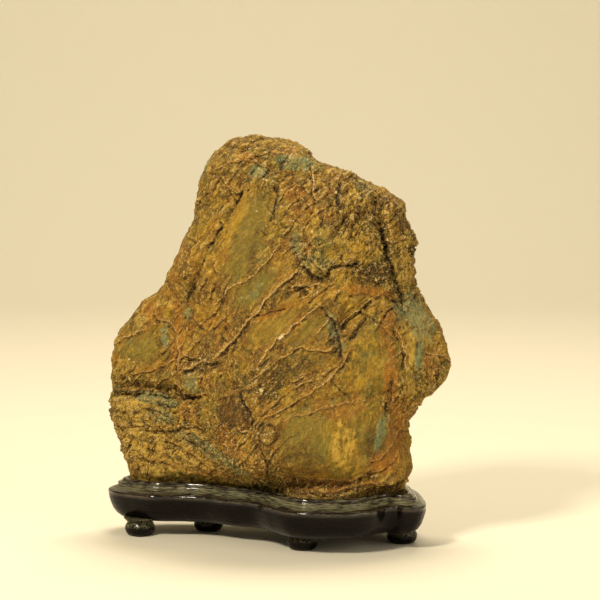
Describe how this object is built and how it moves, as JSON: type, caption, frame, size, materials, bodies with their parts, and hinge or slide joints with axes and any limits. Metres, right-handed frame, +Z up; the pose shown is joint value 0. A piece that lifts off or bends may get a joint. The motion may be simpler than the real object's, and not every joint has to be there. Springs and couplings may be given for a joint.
{
  "type": "scholars rock on wooden stand",
  "caption": "Weathered viewing stone with a rounded crown, a side nose and diagonal veins, seated in a lobed carved dark wooden stand on bun feet.",
  "frame": {"origin": "centre of the whole object's plan, on the surface that it stands on", "axes": "+Z up through the stone's crown, -Y towards the side the stone is shown from, +X towards its nose"},
  "size_m": [0.182, 0.0915, 0.2145],
  "materials": {
    "rock": "rough weathered, earth-stained, matt",
    "lacquered_wood": "dark lacquer, glossy on the beads and worn at the edges"
  },
  "bodies": {
    "root": {"stone": "rock", "stand": "lacquered_wood"}
  },
  "joints": []
}
